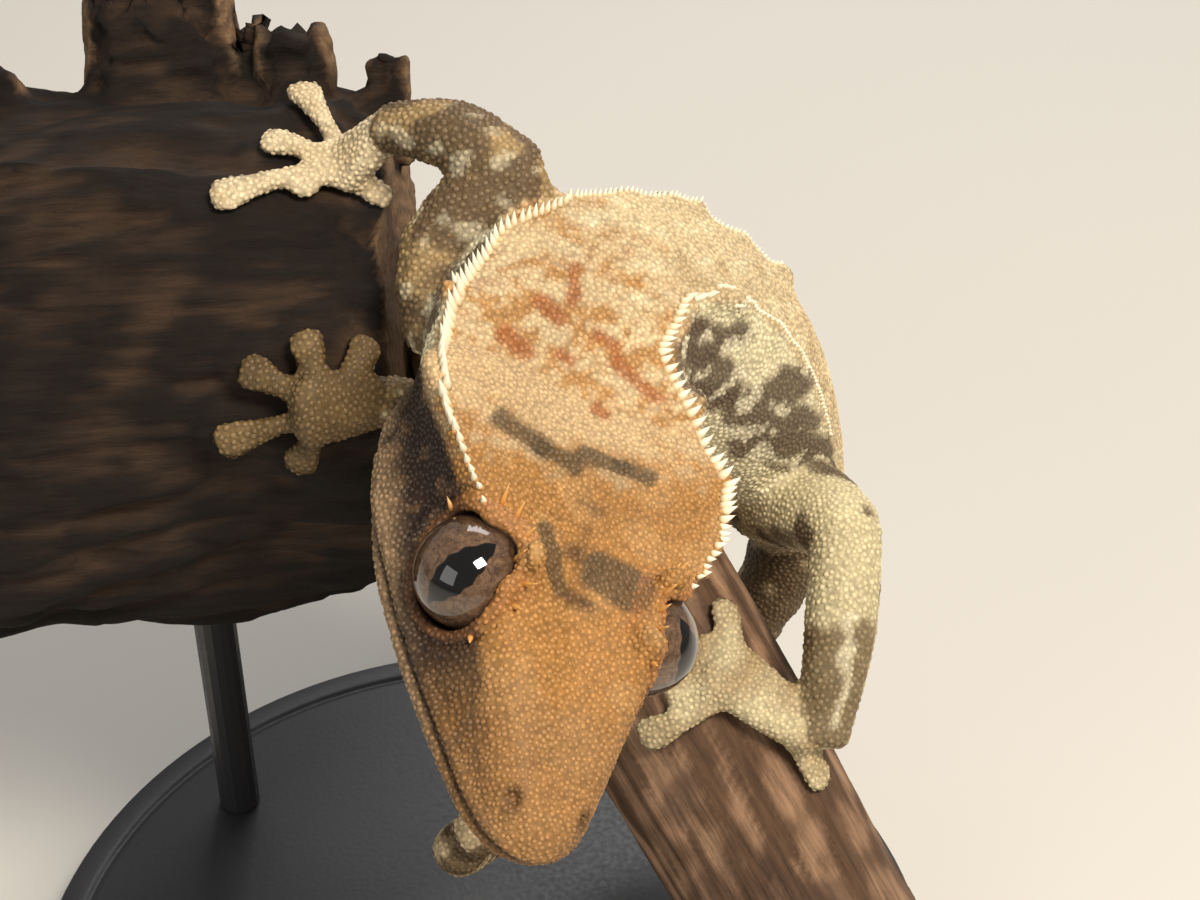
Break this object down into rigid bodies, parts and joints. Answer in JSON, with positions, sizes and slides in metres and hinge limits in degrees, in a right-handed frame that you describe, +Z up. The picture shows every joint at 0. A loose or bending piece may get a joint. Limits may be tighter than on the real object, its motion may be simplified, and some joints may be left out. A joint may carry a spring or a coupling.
{
  "type": "crested gecko model on driftwood",
  "caption": "Still life-size crested gecko draped head-down over a cut fork of driftwood, held on a plain round display stand.",
  "frame": {"origin": "centre of the display base's underside", "axes": "+Z up from the floor, -Y to the side the picture is taken from, +X to the picture's right"},
  "size_m": [0.098, 0.0955, 0.1036],
  "materials": {
    "skin_orange": "matte",
    "skin_cream": "matte",
    "skin_brown": "matte",
    "eye": "gloss",
    "dark_wood": "rough",
    "pale_wood": "rough",
    "stand": "satin"
  },
  "bodies": {
    "root": {"head": "skin_orange", "neck": "skin_orange", "chest": "skin_cream", "rump": "skin_cream", "tail_base": "skin_brown", "tail_middle": "skin_brown", "tail_tip": "skin_brown", "eye_left": "eye", "eye_right": "eye", "right_upper_arm": "skin_brown", "right_forearm": "skin_brown", "right_hand": "skin_brown", "right_thigh": "skin_brown", "right_shin": "skin_cream", "right_foot": "skin_cream", "left_upper_arm": "skin_brown", "left_forearm": "skin_brown", "left_hand": "skin_brown", "left_thigh": "skin_brown", "left_shin": "skin_cream", "left_foot": "skin_cream", "perch_log": "dark_wood", "perch_branch": "pale_wood", "stand_base": "stand", "stand_rod_log": "stand", "stand_rod_branch": "stand"}
  },
  "joints": []
}
